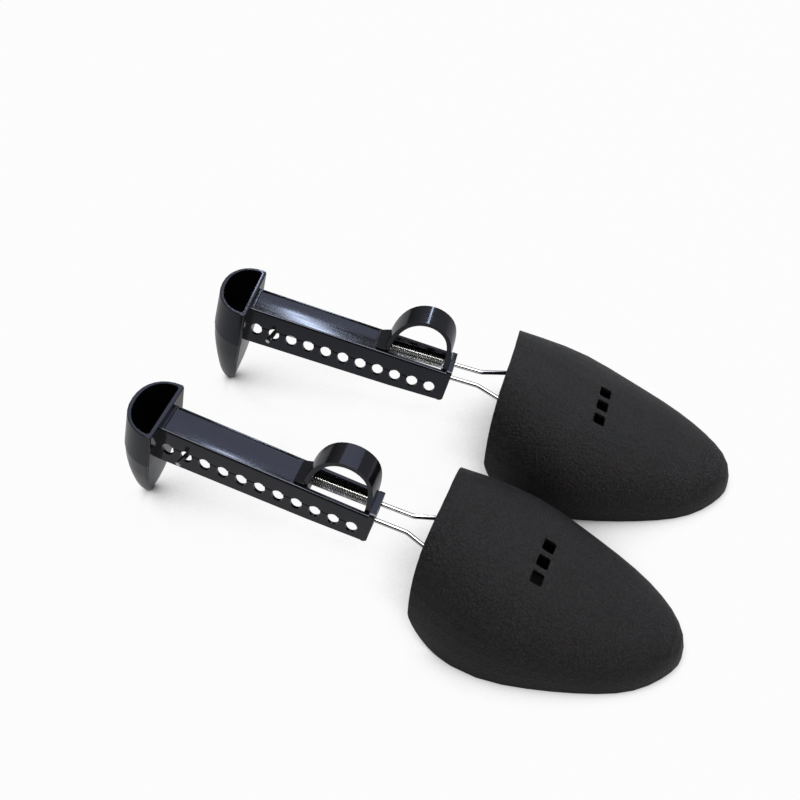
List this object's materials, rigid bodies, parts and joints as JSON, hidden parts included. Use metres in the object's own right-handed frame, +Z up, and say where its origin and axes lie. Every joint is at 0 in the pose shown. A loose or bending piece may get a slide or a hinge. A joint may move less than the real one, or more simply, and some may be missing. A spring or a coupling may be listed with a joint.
{
  "type": "pair of shoe trees",
  "caption": "Pair of sprung plastic shoe trees: hollow toe shell on a wire bow, perforated channel handle with finger ring, window and hollow heel cup; length set by a wire end in the holes.",
  "frame": {"origin": "centre of the pair's bounding box, on the floor that the pair stands on", "axes": "+X from the heels to the toes, +Y from the right tree to the left tree, +Z up"},
  "size_m": [0.245, 0.1578, 0.0616],
  "materials": {
    "handle": "gloss black, satin on the sides",
    "toe": "matt black, finely textured",
    "wire": "bright plated",
    "plate": "plain",
    "spring": "bright"
  },
  "bodies": {
    "right_heel_part": {"right_handle": "handle"},
    "right_latch_part": {"right_latch_wire": "wire", "right_guide_plate": "plate", "right_spring_1": "spring", "right_spring_2": "spring"},
    "right_bow_part": {"right_toe_bow": "wire", "right_spring_plate": "plate"},
    "right_toe_part": {"right_toe_shell": "toe"},
    "left_heel_part": {"left_handle": "handle"},
    "left_latch_part": {"left_latch_wire": "wire", "left_guide_plate": "plate", "left_spring_1": "spring", "left_spring_2": "spring"},
    "left_bow_part": {"left_toe_bow": "wire", "left_spring_plate": "plate"},
    "left_toe_part": {"left_toe_shell": "toe"}
  },
  "joints": [
    {"name": "right_length_adjust", "type": "slide", "parent": "right_heel_part", "child": "right_latch_part", "axis": [0.9763, -0.046, -0.2113], "range_m": [-0.008, 0.072], "deforming": ["right_latch_wire"]},
    {"name": "right_spring_travel", "type": "slide", "parent": "right_latch_part", "child": "right_bow_part", "axis": [0.9864, -0.0448, -0.1582], "range_m": [-0.0075, 0], "stiffness_N_per_m": 800, "springref_m": 0.005, "deforming": ["right_spring_1", "right_spring_2"]},
    {"name": "right_toe_tilt", "type": "hinge", "parent": "right_bow_part", "child": "right_toe_part", "pos_m": [0.04656, -0.03853, 0.02041], "axis": [0.0405, 0.9987, -0.0307], "range_deg": [-8, 8]},
    {"name": "left_length_adjust", "type": "slide", "parent": "left_heel_part", "child": "left_latch_part", "axis": [0.9763, 0.046, -0.2113], "range_m": [-0.008, 0.072], "deforming": ["left_latch_wire"]},
    {"name": "left_spring_travel", "type": "slide", "parent": "left_latch_part", "child": "left_bow_part", "axis": [0.9862, 0.0482, -0.1582], "range_m": [-0.0062, 0.0013], "stiffness_N_per_m": 800, "springref_m": 0.0063, "deforming": ["left_spring_1", "left_spring_2"]},
    {"name": "left_toe_tilt", "type": "hinge", "parent": "left_bow_part", "child": "left_toe_part", "pos_m": [0.05412, 0.04762, 0.02062], "axis": [-0.0537, 0.9981, -0.0307], "range_deg": [-8, 8]},
    {"name": "trees_apart", "type": "slide", "parent": "right_heel_part", "child": "left_heel_part", "axis": [0, 1, 0], "range_m": [0, 0.1]}
  ]
}
